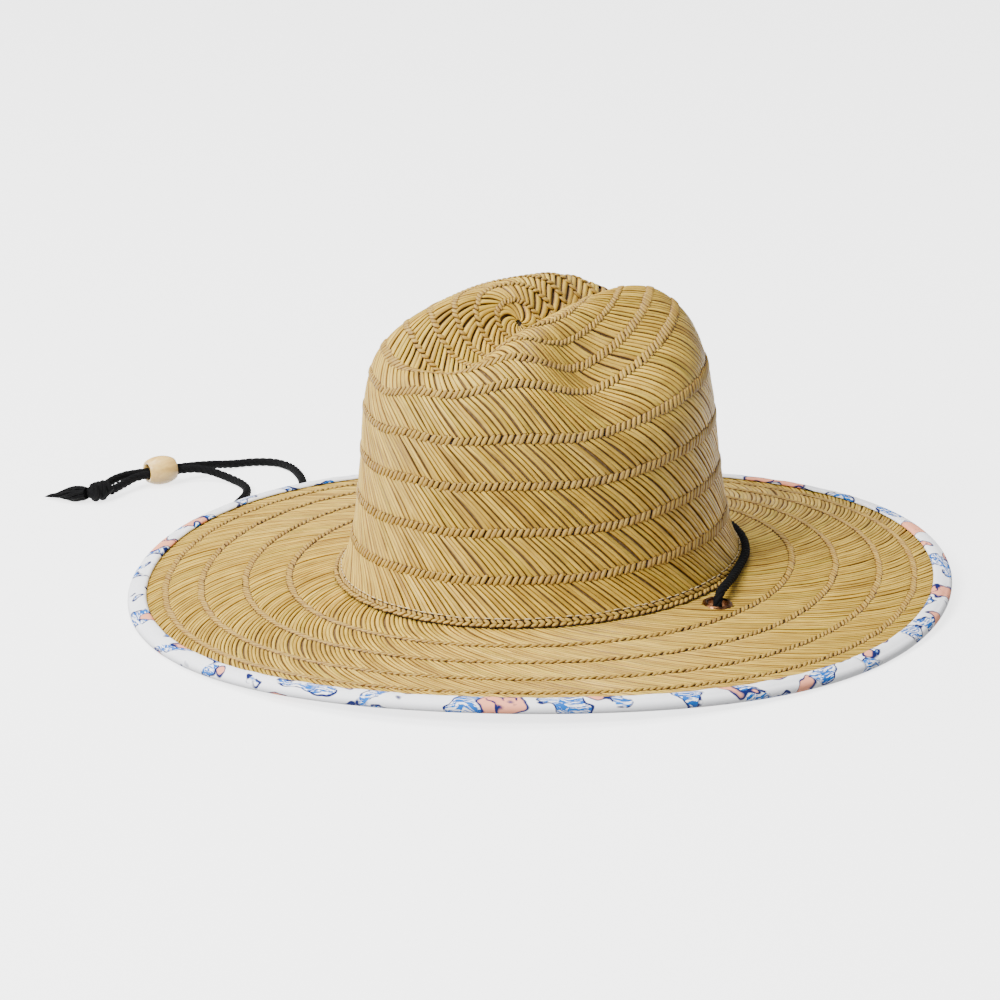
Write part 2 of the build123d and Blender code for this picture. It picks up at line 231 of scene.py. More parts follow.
# ---- meshes from grids of points ---------------------------------------------------------
def grid_faces(count, rows, cols):
    corner = np.arange(rows * cols).reshape(rows, cols)
    quad = [corner[:-1, :-1], corner[1:, :-1], corner[1:, 1:], corner[:-1, 1:]]
    quads = np.stack(quad, -1).reshape(-1, 4)
    return (quads[None] + (np.arange(count) * rows * cols)[:, None, None]).reshape(-1, 4)


def mesh_piece(name, points, faces, values=None, material=None):
    """An object from points in mm and quads, with point values for its material."""
    mesh = bpy.data.meshes.new(name)
    mesh.vertices.add(len(points))
    mesh.vertices.foreach_set("co", (points * MM).ravel())
    mesh.loops.add(faces.size)
    mesh.loops.foreach_set("vertex_index", faces.ravel())
    mesh.polygons.add(len(faces))
    mesh.polygons.foreach_set("loop_start", np.arange(0, faces.size, 4))
    mesh.update(calc_edges=True)
    mesh.polygons.foreach_set("use_smooth", np.ones(len(faces), bool))
    for key, value in (values or {}).items():
        layer = mesh.attributes.new(key, "FLOAT", "POINT")
        layer.data.foreach_set("value", value.astype(np.float32))
    obj = bpy.data.objects.new(name, mesh)
    bpy.context.collection.objects.link(obj)
    if material:
        mesh.materials.append(material)
    return obj


class StrawPile:
    """Collects straws, each a small grid of points, into one mesh."""

    def __init__(self):
        self.points, self.faces, self.tone, self.along, self.across = [], [], [], [], []
        self.total = 0

    def add(self, grids, tone, along, across, keep=None):
        count, rows, cols, _ = grids.shape
        faces = grid_faces(count, rows, cols)
        flat = grids.reshape(-1, 3)
        if keep is not None:
            faces = faces[keep(flat[faces].mean(1))]
        self.points.append(flat)
        self.faces.append(faces + self.total)
        self.total += len(flat)
        shape = (count, rows, cols)
        self.tone.append(np.broadcast_to(tone[:, None, None], shape).ravel())
        self.along.append(np.broadcast_to(along, shape).ravel())
        self.across.append(np.broadcast_to(across, shape).ravel())

    def build(self, name, material):
        values = {
            "tone": np.concatenate(self.tone),
            "along": np.concatenate(self.along),
            "across": np.concatenate(self.across),
        }
        points, faces = np.concatenate(self.points), np.concatenate(self.faces)
        return mesh_piece(name, points, faces, values, material)


def row_length(surface, line):
    ring = surface.points[line]
    return np.linalg.norm(ring - np.roll(ring, 1, 0), axis=1).sum()


def lay_band(pile, surface, slant, lift=0.0, thick=1.0, keep=None, fill=1.0):
    """Long straws side by side from one row to the next, bowing as they go."""
    length = row_length(surface, LINES // 2)
    count = max(12, round(length / STRAW_PITCH))
    step = 2 * pi / count
    along = np.linspace(-0.04, 1.04, 10)
    across = np.array([-1, -0.8, 0, 0.8, 1.0])
    arch = np.array([0, 0.78, 1, 0.78, 0])
    bow = 0.78 * along + 0.22 * along**2
    loose = 0.03 * np.sin(3 * step * np.arange(count) + slant)
    wide = fill * (rng.uniform(0.93, 1.0, count) + loose)
    turn = (np.arange(count) + rng.normal(0, 0.05, count)) * step
    slant_turn = slant / length * 2 * pi * (1 + 0.2 * np.cos(turn + radians(45)))[:, None]
    sway = rng.normal(0, 0.12, count)[:, None] * step * np.sin(pi * along)[None]
    turns = turn[:, None] + slant_turn * bow[None] + sway
    turns = turns[:, :, None] + (across * step / 2)[None, None] * wide[:, None, None]
    rows = np.clip(np.broadcast_to(along[None, :, None], turns.shape), 0, 1)
    dip = 1 - np.abs(2 * along - 1) ** 6
    high = rng.uniform(0.8, 1.15, count)
    profile = STRAW_TALL * arch[None, None] * high[:, None, None]
    height = lift + thick * (profile - 1.0 + 0.55 * (dip[None, :, None] - 1))
    grids = surface.at(rows, turns, height)
    gap = np.linalg.norm(surface.points[-1, 0] - surface.points[0, 0])
    groups = np.repeat(rng.uniform(0, 1, count // 3 + 1), 3)[:count]
    pile.add(
        grids,
        0.55 * groups + 0.44 * rng.uniform(0, 1, count),
        along[None, :, None] * gap + rng.uniform(0, 900, count)[:, None, None],
        # painted shade: across rises towards the straw's ends, so the material darkens them as
        # shade by the rows
        np.maximum(np.abs(across)[None, :], (np.abs(2 * along - 1) ** 18)[:, None])[None],
        keep,
    )
    return count


def lay_row(pile, lower, upper, count, slant, lift=0.0, thick=1.0, tall=KNOT_TALL, keep=None):
    """The short straws that cross over a row; lower and upper are the bands beside it."""
    step = 2 * pi / count
    along = np.linspace(-0.5, 0.5, 8)
    across = np.array([-1, -0.75, 0, 0.75, 1.0])
    arch = np.array([0, 0.75, 1, 0.75, 0])
    length = row_length(lower, LINES - 1)
    sizes = rng.uniform(0.88, 1.1, count)
    turn = (np.arange(count) + rng.normal(0, 0.06, count)) * step
    slant = slant / length * 2 * pi
    turns = turn[:, None] + slant * along[None] * sizes[:, None]
    taper = 1 - 0.5 * np.abs(2 * along) ** 2.4
    turns = turns[:, :, None] + 0.5 * step * across[None, None] * taper[None, :, None]
    rise = along[None, :, None] * tall * sizes[:, None, None] + 0 * turns
    rise = rise + rng.normal(0, 0.18, count)[:, None, None]
    gap_low = np.linalg.norm(lower.points[-1, 0] - lower.points[0, 0])
    gap_high = np.linalg.norm(upper.points[-1, 0] - upper.points[0, 0])
    dome = np.sqrt(1 - 0.92 * (2 * along) ** 4)
    height = lift + thick * (1.1 * arch[None, None] * dome[None, :, None] - 0.6 + 0 * turns)
    below = lower.at(1 + np.minimum(rise, 0) / gap_low, turns, height)
    above = upper.at(np.maximum(rise, 0) / gap_high, turns, height)
    grids = np.where((rise < 0)[..., None], below, above)
    pile.add(
        grids,
        rng.uniform(0, 1, count) + 2,
        along[None, :, None] * tall + rng.uniform(0, 900, count)[:, None, None],
        # painted shade: across rises towards the knot's ends, so the material darkens them as shade
        np.maximum(np.abs(across)[None, :], (np.abs(2 * along) ** 3)[:, None])[None],
        keep,
    )


def lay_stitches(pile, surface, row, long, space, thick):
    """A line of running stitches round a surface: short rounded threads with spaces between."""
    count = round(row_length(surface, 0) / (long + space))
    step = 2 * pi / count
    along = np.linspace(-0.5, 0.5, 9)
    round_ = np.linspace(0, 2 * pi, 9)
    fat = np.sqrt(np.clip(1 - (2 * along) ** 6, 0.02, 1)) * thick / 2
    gap = np.linalg.norm(surface.points[-1, 0] - surface.points[0, 0])
    share = long / (long + space) * rng.uniform(0.85, 1.1, count)
    turn = (np.arange(count) + rng.normal(0, 0.05, count)) * step
    turns = turn[:, None] + share[:, None] * step * along[None]
    side = fat[:, None] * np.cos(round_)[None]
    high = fat[:, None] * np.sin(round_)[None]
    drift = rng.normal(0, 0.12, count)[:, None, None]
    lift = 0.55 * thick + 0.35 * np.cos(pi * along)[None, :, None]
    shape = (count, len(along), len(round_))
    full = np.zeros(shape)
    rows = row + (side[None] + drift) / gap + full
    grids = surface.at(rows, turns[:, :, None] + full, high[None] + lift + full)
    pile.add(grids, rng.uniform(0, 1, count), along[None, :, None] * long, 0 * side[None])


# ---- materials ---------------------------------------------------------------------------
class Nodes:
    """Short calls for building one material."""

    def __init__(self, name):
        self.material = bpy.data.materials.new(name)
        self.material.use_nodes = True
        self.tree = self.material.node_tree
        self.shader = self.tree.nodes["Principled BSDF"]

    def new(self, kind, inputs=None, **settings):
        node = self.tree.nodes.new(kind)
        for key, value in settings.items():
            setattr(node, key, value)
        for key, value in (inputs or {}).items():
            if isinstance(value, bpy.types.NodeSocket):
                self.tree.links.new(value, node.inputs[key])
            else:
                node.inputs[key].default_value = value
        return node

    def math(self, operation, a, b=0.0):
        return self.new("ShaderNodeMath", {0: a, 1: b}, operation=operation).outputs[0]

    def position(self):
        return self.new("ShaderNodeTexCoord").outputs["Object"]

    def value(self, name):
        return self.new("ShaderNodeAttribute", attribute_name=name).outputs["Fac"]

    def vector(self, x, y, z=0.0):
        return self.new("ShaderNodeCombineXYZ", {0: x, 1: y, 2: z}).outputs[0]

    def noise(self, vector, scale, detail=3.0, roughness=0.5):
        inputs = {"Vector": vector, "Scale": scale, "Detail": detail, "Roughness": roughness}
        return self.new("ShaderNodeTexNoise", inputs).outputs["Fac"]

    def ramp(self, value, stops):
        node = self.new("ShaderNodeValToRGB", {"Fac": value})
        band = node.color_ramp
        while len(band.elements) < len(stops):
            band.elements.new(0.5)
        for element, (place, colour) in zip(band.elements, stops):
            element.position = place
            element.color = (*colour, 1)
        return node.outputs["Color"]

    def mix(self, share, a, b, blend="MIX"):
        node = self.new("ShaderNodeMix", data_type="RGBA", blend_type=blend)
        for socket, value in ((node.inputs[0], share), (node.inputs[6], a), (node.inputs[7], b)):
            if isinstance(value, bpy.types.NodeSocket):
                self.tree.links.new(value, socket)
            elif isinstance(value, tuple):
                socket.default_value = (*value, 1)
            else:
                socket.default_value = value
        return node.outputs[2]

    def bump(self, height, strength, distance):
        inputs = {"Height": height, "Strength": strength, "Distance": distance}
        return self.new("ShaderNodeBump", inputs).outputs["Normal"]

    def finish(self, colour, roughness, normal=None, **constants):
        links = {"Base Color": colour, "Roughness": roughness, "Normal": normal}
        for key, value in links.items():
            if isinstance(value, bpy.types.NodeSocket):
                self.tree.links.new(value, self.shader.inputs[key])
            elif isinstance(value, tuple):
                self.shader.inputs[key].default_value = (*value, 1)
            elif value is not None:
                self.shader.inputs[key].default_value = value
        for key, value in constants.items():
            self.shader.inputs[key.replace("_", " ")].default_value = value
        return self.material


def straw_material(name, light=1.0):
    """Split straw: every straw has its own tone, with fine streaks along it, and painted shade at
    its sides and ends; a light below 1 makes a copy darkened all over with painted shade.
    """
    n = Nodes(name)
    tone, along, across = n.value("tone"), n.value("along"), n.value("across")
    pick = n.math("FRACT", tone)
    knot = n.math("GREATER_THAN", tone, 1.5)
    colour = n.ramp(
        pick,
        [
            (0.0, (0.30, 0.150, 0.016)),
            (0.14, (0.45, 0.265, 0.028)),
            (0.35, (0.58, 0.365, 0.042)),
            (0.58, (0.69, 0.455, 0.068)),
            (0.72, (0.48, 0.330, 0.030)),
            (0.84, (0.64, 0.380, 0.042)),
            (0.93, (0.78, 0.550, 0.110)),
            (0.985, (0.40, 0.190, 0.040)),
            (1.0, (0.24, 0.075, 0.024)),
        ],
    )
    place = n.vector(n.math("MULTIPLY", along, 0.05), n.math("MULTIPLY", across, 1.3), pick)
    streak = n.noise(place, 3.2, 4.0, 0.6)
    colour = n.mix(n.math("MULTIPLY", streak, 0.5), colour, (0.78, 0.550, 0.090))
    patch = n.noise(n.vector(n.math("MULTIPLY", along, 0.09), 0.0, tone), 1.0, 2.0)
    fade = n.ramp(patch, [(0.35, (0.70, 0.66, 0.60)), (0.62, (1.0, 1.0, 1.0))])
    colour = n.mix(1.0, colour, fade, "MULTIPLY")
    colour = n.mix(n.math("MULTIPLY", knot, 0.62), colour, (0.35, 0.215, 0.052))
    # painted shade: each straw goes to near black at its sides, and at its ends where across is
    # raised, standing for the shade in the gaps between straws and by the rows
    side = n.math("ABSOLUTE", across)
    edge = n.ramp(
        side, [(0.62, (1, 1, 1)), (0.84, (0.42, 0.30, 0.14)), (1.0, (0.02, 0.008, 0.002))]
    )
    colour = n.mix(1.0, colour, edge, "MULTIPLY")
    # painted shade: a copy of the straw darkened by this factor, used for the crown's inside
    if light != 1.0:
        colour = n.mix(1.0, colour, (light, light, light), "MULTIPLY")
    grooves = n.noise(
        n.vector(n.math("MULTIPLY", along, 0.03), n.math("MULTIPLY", across, 4.0), pick), 3.0, 3.0
    )
    rough = n.ramp(streak, [(0.3, (0.36,) * 3), (0.7, (0.52,) * 3)])
    normal = n.bump(grooves, 0.35, 0.0004)
    return n.finish(colour, rough, normal, Specular_IOR_Level=0.3)


def painted_shade_backing_material():
    """A dark sheet behind the woven face, coloured with painted shade for what shows through the
    gaps.
    """
    n = Nodes("straw_painted_shade_backing")
    place = n.position()
    shade = n.noise(place, 420.0, 4.0)
    colour = n.ramp(shade, [(0.3, (0.085, 0.045, 0.012)), (0.7, (0.180, 0.100, 0.030))])
    return n.finish(colour, 0.8, n.bump(shade, 0.4, 0.0005))


def print_material(name):
    """White cotton with loose navy brush strokes, sky-blue washes and coral slips."""
    n = Nodes(name)
    around, across = n.value("around"), n.value("across")
    place = n.vector(around, across)
    bend = n.new("ShaderNodeTexNoise", {"Vector": place, "Scale": 0.06, "Detail": 2.0})
    shift = n.new(
        "ShaderNodeVectorMath", {0: bend.outputs["Color"], 1: (0.5,) * 3}, operation="SUBTRACT"
    )
    shift = n.new("ShaderNodeVectorMath", {0: shift.outputs[0], "Scale": 16.0}, operation="SCALE")
    bent = n.new("ShaderNodeVectorMath", {0: place, 1: shift.outputs[0]}, operation="ADD")
    bent = bent.outputs[0]

    white = n.noise(place, 0.9, 3.0)
    colour = n.ramp(white, [(0.3, (0.94, 0.95, 1.0)), (0.7, (0.99, 0.99, 1.0))])

    # where a motif stands, and the washes inside it
    motif = n.noise(bent, 0.058, 1.0)
    inside = n.ramp(motif, [(0.535, (0, 0, 0)), (0.55, (1, 1, 1))])
    drawn_out = {"Vector": bent, "Rotation": (0, 0, 0.7), "Scale": (0.13, 1.5, 1)}
    comb = n.noise(n.new("ShaderNodeMapping", drawn_out).outputs[0], 0.75, 3.0, 0.65)
    hatch = n.ramp(comb, [(0.46, (0, 0, 0)), (0.49, (1, 1, 1))])
    blue = n.mix(n.noise(bent, 0.2, 2.0), (0.0, 0.035, 0.26), (0.0, 0.20, 0.70))
    wash = n.mix(1.0, inside, hatch, "MULTIPLY")
    colour = n.mix(wash, colour, blue)

    coral_place = n.new("ShaderNodeMapping", {"Vector": bent, "Location": (37, 11, 0)}).outputs[0]
    coral_field = n.noise(coral_place, 0.055, 1.0)
    coral = n.ramp(coral_field, [(0.60, (0, 0, 0)), (0.625, (1, 1, 1))])
    colour = n.mix(coral, colour, (0.90, 0.36, 0.22))

    # navy outlines follow the rims of the motifs and of the coral slips
    rim = n.ramp(
        motif,
        [(0.514, (0, 0, 0)), (0.522, (1, 1, 1)), (0.546, (1, 1, 1)), (0.554, (0, 0, 0))],
    )
    gaps = n.ramp(n.noise(place, 0.16, 2.0), [(0.42, (0, 0, 0)), (0.5, (1, 1, 1))])
    line = n.mix(1.0, rim, gaps, "MULTIPLY")
    slip = n.ramp(
        coral_field,
        [(0.585, (0, 0, 0)), (0.60, (1, 1, 1)), (0.615, (1, 1, 1)), (0.63, (0, 0, 0))],
    )
    line = n.mix(1.0, line, slip, "LIGHTEN")
    colour = n.mix(line, colour, (0.001, 0.007, 0.09))

    threads = n.new("ShaderNodeTexWave", {"Vector": place, "Scale": 2.2, "Distortion": 0.6})
    weft = n.vector(across, around)
    cross = n.new("ShaderNodeTexWave", {"Vector": weft, "Scale": 2.2, "Distortion": 0.6})
    cloth = n.math("ADD", threads.outputs["Fac"], cross.outputs["Fac"])
    return n.finish(colour, 0.78, n.bump(cloth, 0.12, 0.0002), Specular_IOR_Level=0.2)


def cord_material():
    n = Nodes("cord_black_braid")
    place = n.position()
    fibre = n.noise(place, 2600.0, 3.0)
    colour = n.ramp(fibre, [(0.3, (0.001, 0.001, 0.001)), (0.75, (0.006, 0.006, 0.007))])
    return n.finish(colour, 0.85, n.bump(fibre, 0.5, 0.0003), Specular_IOR_Level=0.12)


def bead_material():
    n = Nodes("bead_maple")
    place = n.position()
    drawn_out = {"Vector": place, "Rotation": (0, 0, BEAD_TURN), "Scale": (900, 120, 900)}
    grain = n.noise(n.new("ShaderNodeMapping", drawn_out).outputs[0], 0.55, 5.0, 0.6)
    colour = n.ramp(
        grain, [(0.3, (0.70, 0.42, 0.12)), (0.52, (0.86, 0.55, 0.155)), (0.75, (0.93, 0.66, 0.23))]
    )
    normal = n.bump(grain, 0.08, 0.0003)
    return n.finish(colour, 0.34, normal, Coat_Weight=0.25, Coat_Roughness=0.25)


def eyelet_material():
    n = Nodes("eyelet_copper")
    place = n.position()
    wear = n.noise(place, 700.0, 4.0)
    colour = n.ramp(wear, [(0.35, (0.09, 0.035, 0.014)), (0.65, (0.30, 0.135, 0.06))])
    rough = n.ramp(wear, [(0.3, (0.22,) * 3), (0.7, (0.38,) * 3)])
    return n.finish(colour, rough, n.bump(wear, 0.1, 0.0002), Metallic=1.0)


def band_material():
    n = Nodes("sweatband_cotton")
    place = n.position()
    inputs = {"Vector": place, "Scale": 480.0, "Distortion": 0.5}
    ribs = n.new("ShaderNodeTexWave", inputs, bands_direction="Z").outputs["Fac"]
    fuzz = n.noise(place, 900.0, 3.0)
    colour = n.ramp(fuzz, [(0.3, (0.70, 0.64, 0.52)), (0.7, (0.82, 0.77, 0.66))])
    return n.finish(colour, 0.85, n.bump(ribs, 0.3, 0.0004), Sheen_Weight=0.2)


def thread_material():
    n = Nodes("thread_pale")
    place = n.position()
    twist = n.noise(place, 1800.0, 3.0)
    colour = n.ramp(twist, [(0.3, (0.50, 0.37, 0.17)), (0.7, (0.72, 0.58, 0.33))])
    return n.finish(colour, 0.7, n.bump(twist, 0.3, 0.0002))


straw = straw_material("straw_woven")
# the crown's inside straw, darkened with painted shade
straw_inside_shaded = straw_material("straw_woven_inside_painted_shade", 0.86)
painted_shade_backing = painted_shade_backing_material()
printed = print_material("binding_print")
facing = print_material("facing_print")
black = cord_material()
copper = eyelet_material()
thread = thread_material()


# ---- straw -------------------------------------------------------------------------------
EYELETS = ((106.9, 3.0), (-106.9, 3.0))
EYELET_CLEAR = 5.9  # straw and cloth are left out this near to an eyelet's middle
FULL_BAND = 20.0  # straws slant less in a band narrower than this
TOP_FILL = 0.95  # straws are a little narrower in the crown's top


def clear_of_eyelets(centres):
    keep = np.ones(len(centres), bool)
    for x, y in EYELETS:
        keep &= np.hypot(centres[:, 0] - x, centres[:, 1] - y) > EYELET_CLEAR
    return keep


crown = crown_bands()
brim = brim_bands()
cove = foot_cove()


def weave_crown(name, lift, thick, material):
    """The crown's straws, as one piece for the wall and one for the top; inside if thick < 0."""
    wall, top = StrawPile(), StrawPile()
    counts = []
    for index, surface in enumerate(crown[1:]):
        fill = 1.0 if index < WALL_BANDS else TOP_FILL
        pile = wall if index < WALL_BANDS else top
        width = np.linalg.norm(surface.points[-1, 0] - surface.points[0, 0])
        wide = min(1.0, width / FULL_BAND)
        counts.append(lay_band(pile, surface, -WALL_SLANT * wide**1.6, lift, thick, fill=fill))
    for index, (lower, upper, count) in enumerate(zip(crown[1:], crown[2:], counts)):
        pile = wall if index < WALL_BANDS else top
        tall = KNOT_TALL if index < WALL_AND_RIDGE_ROWS else TOP_KNOT_TALL
        lay_row(pile, lower, upper, count, KNOT_SLANT * tall / KNOT_TALL, lift, thick, tall)
    lay_row(wall, crown[0], crown[1], counts[0], -2.0, lift, thick, FOOT_TALL)
    if thick > 0:
        lay_row(wall, cove[0], cove[1], counts[0], 2.0, lift + 0.2, thick, FOOT_TALL)
    return [wall.build(name, material), top.build(name + "_top", material)]


crown_straw = weave_crown("crown_weave", 0.5, 1.0, straw)
crown_lining = weave_crown("crown_lining", -STRAW + 0.1, -1.0, straw_inside_shaded)

brim_pile = StrawPile()
brim_counts = [
    lay_band(brim_pile, surface, BRIM_SLANT, keep=clear_of_eyelets) for surface in brim
]
for lower, upper, count in zip(brim, brim[1:], brim_counts):
    lay_row(
        brim_pile,
        lower,
        upper,
        count,
        -BRIM_KNOT_SLANT,
        tall=BRIM_KNOT_TALL,
        keep=clear_of_eyelets,
    )
brim_straw = brim_pile.build("brim_weave", straw)


def closed_grid(lines):
    """Points and quads of a grid whose last column joins its first."""
    rows, cols = lines.shape[:2]
    corner = np.arange(rows * cols).reshape(rows, cols)
    beside = np.roll(corner, -1, 1)
    quad = [corner[:-1], corner[1:], beside[1:], beside[:-1]]
    return lines.reshape(-1, 3), np.stack(quad, -1).reshape(-1, 4)


def thicken(obj, thick):
    solid = obj.modifiers.new("thickness", "SOLIDIFY")
    solid.thickness = thick * MM
    solid.offset = 0


def shell(name, bands, keep=None):
    """The sheet of painted shade behind the straws, with every third line of the bands."""
    lines = [surface.points[:-1:3] - surface.normals[:-1:3] * BACKING_DEPTH for surface in bands]
    lines.append(bands[-1].points[-1:] - bands[-1].normals[-1:] * BACKING_DEPTH)
    stride = 2 if keep is None else 1
    points, faces = closed_grid(np.concatenate(lines)[:, ::stride])
    if keep is not None:
        faces = faces[keep(points[faces].mean(1))]
    obj = mesh_piece(name, points, faces, material=painted_shade_backing)
    thicken(obj, BACKING_THICK)
    return obj


crown_shell = shell("crown_painted_shade_backing", crown)
brim_shell = shell("brim_painted_shade_backing", brim, clear_of_eyelets)
for piece in (*crown_straw, *crown_lining, crown_shell):
    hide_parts("straw_crown", "straw_crown_top")
for piece in (brim_straw, brim_shell):
    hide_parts("straw_brim")
for piece in (*crown_straw, *crown_lining, crown_shell, brim_straw, brim_shell):
    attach(piece, "hat")

foot_pile = StrawPile()
lay_stitches(foot_pile, crown[1], 0.08, 3.6, 1.3, 0.55)
foot_stitches = foot_pile.build("foot_stitches", thread)
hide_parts("sweatband_stitching")
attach(foot_stitches, "hat")


# ---- printed fabric ----------------------------------------------------------------------
def fabric_values(turn, across):
    around = turn * (BASE_RADIUS + BRIM_WIDTH * 0.7)
    return {"around": (around + 0 * across).ravel(), "across": (across + 0 * around).ravel()}


def fabric_facing():
    turn = np.linspace(0, 2 * pi, 481)[None, :]
    out = np.linspace(-1.5, STRAW_WIDTH - 0.4, 64)[:, None]
    ripple = 0.12 * np.sin(23 * turn + 0.05 * out) * smooth(out / 30)
    points = brim_point(turn + 0 * out, out, -STRAW - 0.3 + ripple - 0.05)
    values = fabric_values(turn, out)
    faces = grid_faces(1, *points.shape[:2])
    flat = points.reshape(-1, 3)
    faces = faces[clear_of_eyelets(flat[faces].mean(1))]
    obj = mesh_piece("underbrim_facing", flat, faces, values, facing)
    thicken(obj, FACING_THICK)
    return obj


def binding_strip():
    """The strip folded round the edge, padded and slightly uneven."""
    turn = np.linspace(0, 2 * pi, 721)[None, :]
    inner = BRIM_WIDTH - BINDING_WIDTH
    radius = 2.42
    bend = BRIM_WIDTH - radius
    flat_run = np.linspace(inner, bend, 12)
    arc = np.linspace(pi / 2, -pi / 2, 13)[1:-1]
    out = np.concatenate([flat_run, bend + radius * np.cos(arc), flat_run[::-1]])
    top, bottom = np.full(12, BINDING_RISE), np.full(12, -STACK)
    middle = (BINDING_RISE - STACK) / 2
    rise = np.concatenate([top, middle + radius * np.sin(arc), bottom])
    puff = np.sin(pi * np.clip((out - inner) / (bend - inner), 0, 1)) ** 0.6
    over = np.where(rise > middle, 1.0, -0.25)
    edge = smooth((out - inner) / 1.2)
    lumps = 0.22 * np.sin(31 * turn) * np.sin(7 * turn + 1) + 0.13 * np.sin(83 * turn + 2)
    out, rise, puff, over, edge = (v[:, None] for v in (out, rise, puff, over, edge))
    height = rise + over * puff * (0.75 + lumps) - np.where(over > 0, 1, -1) * 0.55 * (1 - edge)
    points = brim_point(turn + 0 * out, out + 0 * turn, height)
    points[..., 2] = np.maximum(points[..., 2], 0.02)
    out_steps = np.diff(out[:, 0], prepend=inner)
    rise_steps = np.diff(rise[:, 0], prepend=BINDING_RISE)
    girth = np.cumsum(np.hypot(out_steps, rise_steps))
    values = fabric_values(turn, girth[:, None] + BRIM_WIDTH)
    faces = grid_faces(1, *points.shape[:2])
    obj = mesh_piece("edge_binding", points.reshape(-1, 3), faces, values, printed)
    thicken(obj, BINDING_THICK)
    return obj


facing_piece = fabric_facing()
binding_piece = binding_strip()
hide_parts("underbrim_fabric")
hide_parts("brim_binding", "binding_stitching")
for piece, slot in ((facing_piece, "brim_fabric"), (binding_piece, "binding_fabric")):
    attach(piece, "hat")

# ---- chin cord ---------------------------------------------------------------------------
BACK_ROUTE = [
    (106.9, 3.0, 12.5),
    (106.9, 3.0, 17.0),
    (106.4, 6.6, 19.9),
    (103.2, 14.0, 20.2),
    (98.9, 23.0, 19.6),
    (93.6, 33.5, 19.0),
    (87.8, 44.3, 18.9),
    (78.3, 62.7, 19.4),
    (62.2, 81.8, 19.9),
    (42.4, 96.0, 20.3),
    (20.1, 104.5, 20.5),
    (-0.2, 106.8, 20.5),
    (-20.3, 104.4, 20.5),
    (-42.5, 95.9, 20.3),
    (-62.3, 81.7, 19.9),
    (-78.4, 62.6, 19.4),
    (-87.9, 44.3, 19.0),
    (-93.7, 33.5, 19.2),
    (-99.0, 23.0, 19.9),
    (-103.2, 14.0, 20.7),
    (-106.4, 6.6, 20.6),
    (-106.9, 3.0, 17.8),
    (-106.9, 3.0, 13.3),
]
LEFT_ROUTE = [
    (106.9, 3.0, 12.5),
    (106.9, 3.0, 8.0),
    (104.2, 2.0, 4.6),
    (98.5, 0.0, 2.6),
    (88, -2.8, 2.15),
    (67, -6.5, 2.15),
    (34, -8, 2.15),
    (-14, -4, 2.15),
    (-62, -12, 2.15),
    (-104, -25, 2.15),
    (-143, -35, 2.15),
    (-172, -37.5, 2.15),
    (-190, -30, 2.15),
    (-201.5, -15, 2.15),
    (-208.8, -1, 2.15),
    (-215, 12.5, 2.15),
    (-222, 24.5, 2.15),
    (-232, 33, 2.15),
    (-247, 37, 2.5),
    (-263.3, 31.2, 6.8),
    (-270.75, 12.83, 6.8),
    (-277.0, -2.9, 6.7),
    (-276.0, -12.5, 5.2),
    (-273.9, -25.5, 4.2),
]
RIGHT_ROUTE = [
    (-106.9, 3.0, 13.3),
    (-106.9, 3.0, 8.6),
    (-109.6, 4.4, 4.9),
    (-115.8, 7.4, 2.9),
    (-126.5, 12.3, 2.15),
    (-145, 20.5, 2.15),
    (-172, 27, 2.15),
    (-190, 36, 2.15),
    (-203, 46, 2.15),
    (-213, 57.5, 2.15),
    (-225, 67, 2.15),
    (-238, 74.5, 2.15),
    (-250.5, 75.5, 2.15),
    (-260, 68, 2.15),
    (-265, 55.5, 2.5),
    (-266.5, 34.7, 6.8),
    (-277.05, 8.6, 6.8),
    (-285.2, -10.5, 7.0),
    (-278.0, -26.5, 6.0),
]
BRAID_LAY = 15.0  # one strand goes once round in this length, mm
BRAID_STRANDS = 4
STRAND_OFFSET = 1.04  # from the cord's line to a strand's
STRAND_RADIUS = 1.24


def smooth_line(name, route):
    """Points, in mm, along the NURBS spline that has the route as its control points."""
    curve = bpy.data.curves.new(name, "CURVE")
    curve.dimensions = "3D"
    spline = curve.splines.new("NURBS")
    spline.points.add(len(route) - 1)
    for point, place in zip(spline.points, route):
        point.co = (*(Vector(place) * MM), 1)
    spline.order_u = 3
    spline.use_endpoint_u = True
    spline.resolution_u = 16
    holder = bpy.data.objects.new(name, curve)
    mesh = bpy.data.meshes.new_from_object(holder)
    points = np.array([vertex.co[:] for vertex in mesh.vertices]) / MM
    bpy.data.objects.remove(holder)
    bpy.data.curves.remove(curve)
    bpy.data.meshes.remove(mesh)
    return points


def even_line(points, step):
    run = np.concatenate([[0], np.cumsum(np.linalg.norm(np.diff(points, axis=0), axis=1))])
    want = np.linspace(0, run[-1], max(4, int(run[-1] / step)))
    return np.stack([np.interp(want, run, points[:, k]) for k in range(3)], -1), want


def line_frames(points):
    """Side and upper directions that don't twist along the line."""
    forward = np.gradient(points, axis=0)
    forward /= np.linalg.norm(forward, axis=1, keepdims=True)
    side = np.cross(forward[0], (0.31, 0.22, 0.93))
    sides = []
    for direction in forward:
        side = side - direction * (side @ direction)
        side = side / np.linalg.norm(side)
        sides.append(side)
    sides = np.array(sides)
    return sides, np.cross(forward, sides)


